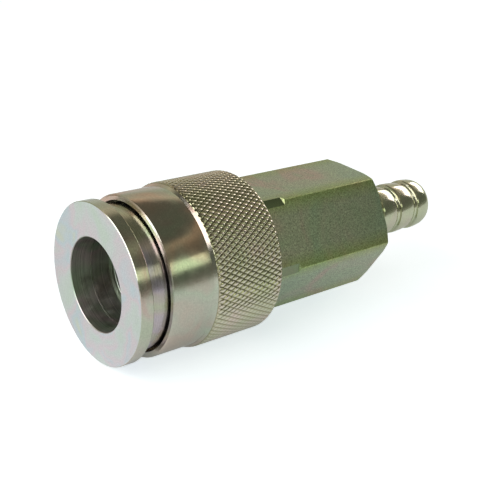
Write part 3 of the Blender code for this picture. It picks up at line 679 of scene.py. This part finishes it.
def knurled_steel():
    """The chromated film in the knurl, in patches of tone, with painted shade that darkens it down into
    the grooves.
    """
    material, tree, shader, place = new_material("zinc_chromate_knurled", 1.0, 0.13)
    depth = add(
        tree, "ShaderNodeMapRange",
        {"Value": axis_distance(tree, place), "From Min": KNURL_ROOT * MM, "From Max": KNURL_TOP * MM},
    )
    patches = add(tree, "ShaderNodeTexNoise", {"Vector": place, "Scale": 1 / (5.0 * MM), "Detail": 3.0})
    worn = add(
        tree, "ShaderNodeValToRGB", {"Fac": patches.outputs[0]},
        stops=[(0.32, "DADCC2"), (0.5, "E4E0CE"), (0.68, "ECDED6")],
    )
    # Painted shade: darker from the diamonds' tops down to the grooves' roots.
    groove_painted_shade = add(
        tree, "ShaderNodeValToRGB", {"Fac": depth.outputs[0]},
        stops=[(0.0, "8E8E76"), (0.3, "D8D8C6"), (1.0, "FFFFFF")],
    )
    tone = multiplied(tree, worn.outputs[0], groove_painted_shade.outputs[0])
    tree.links.new(tone, shader.inputs["Base Color"])
    grain = add(tree, "ShaderNodeTexNoise", {"Vector": place, "Scale": 1 / (0.15 * MM), "Detail": 3.0})
    bump = add(tree, "ShaderNodeBump", {"Height": grain.outputs[0], "Distance": 0.01 * MM})
    tree.links.new(bump.outputs[0], shader.inputs["Normal"])
    return material


# Plain front of the sleeve: polished after turning, so the film's colours show most.
film_sleeve = chromated_steel(
    "zinc_chromate_polished",
    [(0.26, "CDC0B4"), (0.40, "C6C8BA"), (0.50, "C4CDBB"), (0.60, "CBC6B9"), (0.74, "DCBFAE")],
    roughness=0.16, marks_depth=0.003, tilt=(0.0, 5.0, 18.0),
)
sleeve = made("sleeve_shell", turned(sleeve_outline))
sleeve.data.materials.append(film_sleeve)
envelope_outline = [
    (KNURL_START, KNURL_FLOOR + 0.1), (KNURL_START, KNURL_ROOT),
    (KNURL_START + KNURL_RUNOUT, KNURL_TOP + 0.01), (KNURL_END - KNURL_RUNOUT, KNURL_TOP + 0.01),
    (KNURL_END, KNURL_ROOT), (KNURL_END, KNURL_FLOOR + 0.1),
]
band = made("sleeve_knurl", knurl())
cut(band, [made("knurl_envelope", turned(envelope_outline))], "INTERSECT", sharp=68.0)
band.data.materials.append(knurled_steel())
for piece in (sleeve, band):
    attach(piece, "sleeve")
    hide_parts("release_sleeve")


# ---------------------------------------------------------------------------------------------
# Hex body: drawn 19 mm hexagon bar, screwed on behind the nose. Its front corners are turned down
# where the sleeve slides back over them, its rear is chamfered, and the barbed hose tail is turned
# from the same bar.
# ---------------------------------------------------------------------------------------------
HEX_FRONT = 22.8
HEX_REAR = 49.9
HEX_FLATS = 19.0
HEX_CORNER = HEX_FLATS / 2 / math.cos(math.pi / 6)
RELIEF_RADIUS = 10.55
RELIEF_END = 29.6
ENVELOPE = HEX_CORNER + 0.2
TAIL_ROOT = 3.85
BARB_RIM = 4.5
FIRST_BARB = 55.3
BARB_PITCH = 4.45
TIP_END = 67.9
TIP_RADIUS = 3.2
TAIL_BORE = 2.6
CAVITY_RADIUS = 4.8
CAVITY_END = 44.5
GUIDE_SEAT_RADIUS = 6.3
GUIDE_SEAT_STATION = 36.3
GUIDE_ROOM_RADIUS = 7.1
SOCKET_RADIUS = 8.2
SOCKET_END = 30.9


def shoulder(rim):
    """Rounded rise from the tail's root to a barb's rim."""
    rise = BARB_RIM - TAIL_ROOT
    return [(rim - 0.15, TAIL_ROOT + 0.05 * rise), (rim + 0.05, TAIL_ROOT + 0.3 * rise),
            (rim + 0.17, TAIL_ROOT + 0.8 * rise), (rim + 0.35, TAIL_ROOT + 0.96 * rise)]


def swelling(start, end, drop, steps=14):
    """Convex curve of a barb, level at its rim. A larger drop slopes more evenly to its root."""
    angles = [math.pi / 2 * step / steps for step in range(steps)]
    curve = [(start[0] + (end[0] - start[0]) * math.sin(a),
              end[1] + (start[1] - end[1]) * math.cos(a) ** (2 * drop)) for a in angles]
    return curve + [end]


hex_outline = [
    (HEX_FRONT, RELIEF_RADIUS), (RELIEF_END, RELIEF_RADIUS),
    (RELIEF_END + 0.35, ENVELOPE), (HEX_REAR - 0.75, ENVELOPE),
    (HEX_REAR, HEX_FLATS / 2 + 0.4), (HEX_REAR, TAIL_ROOT + 0.3), (HEX_REAR + 0.3, TAIL_ROOT),
]
for barb in range(2):
    rim = FIRST_BARB + barb * BARB_PITCH
    hex_outline += shoulder(rim)
    hex_outline += swelling((rim + 0.6, BARB_RIM), (rim + BARB_PITCH - 0.25, TAIL_ROOT), 0.5)
tip_rim = FIRST_BARB + 2 * BARB_PITCH
hex_outline += shoulder(tip_rim) + swelling((tip_rim + 0.6, BARB_RIM), (TIP_END, TIP_RADIUS), 0.3)
hex_outline += [
    (TIP_END, TAIL_BORE + 0.2), (TIP_END - 0.2, TAIL_BORE), (CAVITY_END + 2.2, TAIL_BORE),
    (CAVITY_END, CAVITY_RADIUS), (GUIDE_SEAT_STATION + 0.8, CAVITY_RADIUS),
    (GUIDE_SEAT_STATION, GUIDE_SEAT_RADIUS), (GUIDE_SEAT_STATION, GUIDE_ROOM_RADIUS),
    (SOCKET_END, GUIDE_ROOM_RADIUS), (SOCKET_END, SOCKET_RADIUS),
    (HEX_FRONT + 0.3, SOCKET_RADIUS), (HEX_FRONT, SOCKET_RADIUS + 0.3),
]
hexagon = made("hex_and_tail", turned(hex_outline))

prism = bmesh.new()
bmesh.ops.create_cone(
    prism, cap_ends=True, segments=6, radius1=HEX_CORNER * MM, radius2=HEX_CORNER * MM,
    depth=90.0 * MM,
)
long_edges = [edge for edge in prism.edges if abs(edge.verts[0].co.z - edge.verts[1].co.z) > MM]
bmesh.ops.bevel(
    prism, geom=long_edges, offset=0.2 * MM, segments=3, profile=0.5, affect="EDGES", material=-1
)
prism.transform(
    Matrix.Translation(off_axis(35.0, 0.0, 0.0)) @ Matrix.Rotation(math.pi / 2, 4, "Y")
)
cut(hexagon, [made("hex_bar", prism)], "INTERSECT", sharp=18.0)


def drawn_steel():
    """The hexagon's flats, drawn, then plated: bright grains of 0.22 mm, and a yellower film
    towards the corners."""
    material, tree, shader, place = new_material("zinc_chromate_drawn", 1.0, 0.28)
    patches = add(
        tree, "ShaderNodeTexNoise",
        {"Vector": place, "Scale": 1 / (9.0 * MM), "Detail": 3.0, "Distortion": 0.8},
    )
    film = add(
        tree, "ShaderNodeValToRGB", {"Fac": patches.outputs[0]},
        stops=[
            (0.30, "B0C4AC"), (0.46, "B8C6AC"), (0.58, "BEC3AE"), (0.68, "CABAAE"), (0.80, "B4C4A8"),
        ],
    )
    corner = add(
        tree, "ShaderNodeMapRange",
        {"Value": axis_distance(tree, place), "From Min": 9.9 * MM, "From Max": HEX_CORNER * MM},
    )
    build_up = add(
        tree, "ShaderNodeValToRGB", {"Fac": corner.outputs[0]},
        stops=[(0.0, "FFFFFF"), (0.6, "F6FAD8"), (1.0, "ECF2BE")],
    )
    grain = add(
        tree, "ShaderNodeTexNoise",
        {"Vector": place, "Scale": 1 / (0.22 * MM), "Detail": 4.0, "Roughness": 0.7},
    )
    sparkle = add(
        tree, "ShaderNodeMapRange",
        {"Value": grain.outputs[0], "From Min": 0.34, "From Max": 0.66,
         "To Min": 0.52, "To Max": 1.4},
    )
    tone = multiplied(tree, multiplied(tree, film.outputs[0], build_up.outputs[0]), sparkle.outputs[0])
    tree.links.new(tone, shader.inputs["Base Color"])
    bump = add(tree, "ShaderNodeBump", {"Height": grain.outputs[0], "Distance": 0.05 * MM})
    tree.links.new(bump.outputs[0], shader.inputs["Normal"])
    return material


# Rear face, hose tail and inside: turned smooth. The marks follow slopes that fall to the tip.
film_tail = chromated_steel(
    "zinc_chromate_tail",
    [(0.30, "CBD3B8"), (0.46, "D2D8BC"), (0.58, "D6D3BE"), (0.74, "CBD3BE")],
    roughness=0.13, marks_depth=0.002, rise=-1.3,
)
# Turned-down corners: smooth, with a film painted darker than the flats as shade.
film_relief_painted_shade = chromated_steel(
    "zinc_chromate_relief_painted_shade",
    [(0.30, "7E9072"), (0.46, "849474"), (0.58, "889076"), (0.74, "809274")],
    roughness=0.16, marks_depth=0.002,
)
for film in (drawn_steel(), film_tail, film_relief_painted_shade):
    hexagon.data.materials.append(film)
# The turned-down corners take the film painted darker as shade.
for polygon in hexagon.data.polygons:
    reach = Vector((0.0, polygon.center.y, polygon.center.z - AXIS_HEIGHT)).length
    behind = polygon.center.x > FRONT + (HEX_REAR - 0.01) * MM
    in_front = polygon.center.x < FRONT + (RELIEF_END + 0.01) * MM
    if behind or reach < 9.2 * MM:
        polygon.material_index = 1
    elif in_front and reach > RELIEF_RADIUS * 0.98 * MM:
        polygon.material_index = 2
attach(hexagon, "body")
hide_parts("hex_body")


# ---------------------------------------------------------------------------------------------
# Studio: a pale light table to lie on, in a dim room with a pale screen behind. One soft box is
# over the front, one is low behind the hose tail, and a strip light is at the side. The table glows
# a little, so its shadows stay faint.
# ---------------------------------------------------------------------------------------------
floor_shape = bmesh.new()
bmesh.ops.create_grid(floor_shape, x_segments=1, y_segments=1, size=1.5)
floor = made("studio_floor", floor_shape)
table_top = bpy.data.materials.new("lit_opal_acrylic")
table_top.use_nodes = True
table_shader = table_top.node_tree.nodes["Principled BSDF"]
table_shader.inputs["Base Color"].default_value = colour("DEDFDF")
table_shader.inputs["Roughness"].default_value = 0.9
table_shader.inputs["Specular IOR Level"].default_value = 0.0
table_shader.inputs["Emission Color"].default_value = colour("F2FAFF")
table_seen = add(table_top.node_tree, "ShaderNodeLightPath").outputs["Is Camera Ray"]
glow = add(
    table_top.node_tree, "ShaderNodeMapRange", {"Value": table_seen, "To Min": 0.19, "To Max": 0.7}
)
table_top.node_tree.links.new(glow.outputs[0], table_shader.inputs["Emission Strength"])
floor.data.materials.append(table_top)

scene = bpy.context.scene
scene.view_settings.view_transform = "Standard"
world = bpy.data.worlds.new("studio")
scene.world = world
world.use_nodes = True
sky = world.node_tree
direction = add(sky, "ShaderNodeTexCoord").outputs["Generated"]
parts = add(sky, "ShaderNodeSeparateXYZ", {0: direction})
# The walls' tones by height: near ones on the camera's side of the room, and far ones opposite.
near_walls = add(
    sky, "ShaderNodeValToRGB", {"Fac": parts.outputs["Z"]},
    stops=[(0.0, "949486"), (0.06, "84847A"), (0.14, "686A5E"), (0.36, "5E6056"), (0.62, "66695C"),
           (0.70, "6E6E5E"), (0.80, "A09C84"), (0.85, "5E5C50")],
)
far_walls = add(
    sky, "ShaderNodeValToRGB", {"Fac": parts.outputs["Z"]},
    stops=[(0.0, "A6A496"), (0.30, "B2B09E"), (0.48, "B4B29E"), (0.64, "D0C0A8"), (0.74, "605E52")],
)
side = add(
    sky, "ShaderNodeMapRange", {"Value": parts.outputs["Y"], "From Min": -0.2, "From Max": 0.3}
)
walls = add(
    sky, "ShaderNodeMix", {"Factor": side.outputs[0]}, data_type="RGBA", clamp_factor=True
)
sky.links.new(near_walls.outputs[0], walls.inputs[6])
sky.links.new(far_walls.outputs[0], walls.inputs[7])
# The pale screen stands opposite the camera, and fades out at its top and its sides.
facing = add(
    sky, "ShaderNodeVectorMath", {0: direction, 1: (0.66, 0.75, 0.0)}, operation="DOT_PRODUCT"
)
width = add(
    sky, "ShaderNodeMapRange", {"Value": facing.outputs["Value"], "From Min": 0.55, "From Max": 0.8}
)
height = add(
    sky, "ShaderNodeMapRange",
    {"Value": parts.outputs["Z"], "From Min": 0.16, "From Max": 0.32, "To Min": 1.0, "To Max": 0.0},
)
screen = add(
    sky, "ShaderNodeMath", {0: width.outputs[0], 1: height.outputs[0]}, operation="MULTIPLY"
)
room = add(
    sky, "ShaderNodeMix", {"Factor": screen.outputs[0], 6: walls.outputs[2]}, data_type="RGBA"
)
room.inputs[7].default_value = colour("C6C4BA")
# The backdrop itself is plain near-white.
seen = add(sky, "ShaderNodeLightPath").outputs["Is Camera Ray"]
backdrop = add(sky, "ShaderNodeMix", {"Factor": seen}, data_type="RGBA")
sky.links.new(room.outputs[2], backdrop.inputs[6])
backdrop.inputs[7].default_value = colour("FDFDFC")
sky.links.new(backdrop.outputs[2], sky.nodes["Background"].inputs["Color"])


def soft_light(name, bearing, climb, reach, size, radiance, tint):
    """Soft box at a bearing and climb in degrees, reach metres away, as bright as radiance."""
    light = bpy.data.lights.new(name, "AREA")
    light.shape = "RECTANGLE"
    light.size, light.size_y = size
    light.energy = radiance * math.pi * size[0] * size[1]
    light.color = colour(tint)[:3]
    bearing, climb = math.radians(bearing), math.radians(climb)
    away = Vector((
        math.cos(climb) * math.cos(bearing), math.cos(climb) * math.sin(bearing), math.sin(climb)
    ))
    obj = bpy.data.objects.new(name, light)
    obj.location = off_axis(20.0, 0.0, 0.0) + away * reach
    obj.rotation_euler = away.to_track_quat("Z", "Y").to_euler()
    scene.collection.objects.link(obj)


soft_light("front_box", -178.0, 36.0, 0.5, (0.62, 0.45), 2.9, "FBFDFF")
soft_light("side_strip", -80.0, 26.5, 0.5, (0.42, 0.115), 1.0, "F6FFD6")
soft_light("rear_box", 9.0, 25.0, 0.5, (0.30, 0.13), 2.9, "FFF4F6")

# The camera stands at the front left, 128 mm from the middle of the flange, and looks down 25 degrees.
lens = bpy.data.cameras.new("camera")
lens.sensor_width = 36.0
lens.lens = 64.24
lens.clip_start = 0.005
camera = bpy.data.objects.new("camera", lens)
right = Vector((0.7718, -0.6305, 0.081)).normalized()
forward = Vector((0.601, 0.6817, -0.417)).normalized()
up = right.cross(forward).normalized()
stand = AXIS_POINT + Vector((-57.89, -98.09, 58.95)) * MM
turn = Matrix((right, up, -forward)).transposed()
camera.matrix_world = Matrix.Translation(stand) @ turn.to_4x4()
scene.collection.objects.link(camera)
scene.camera = camera
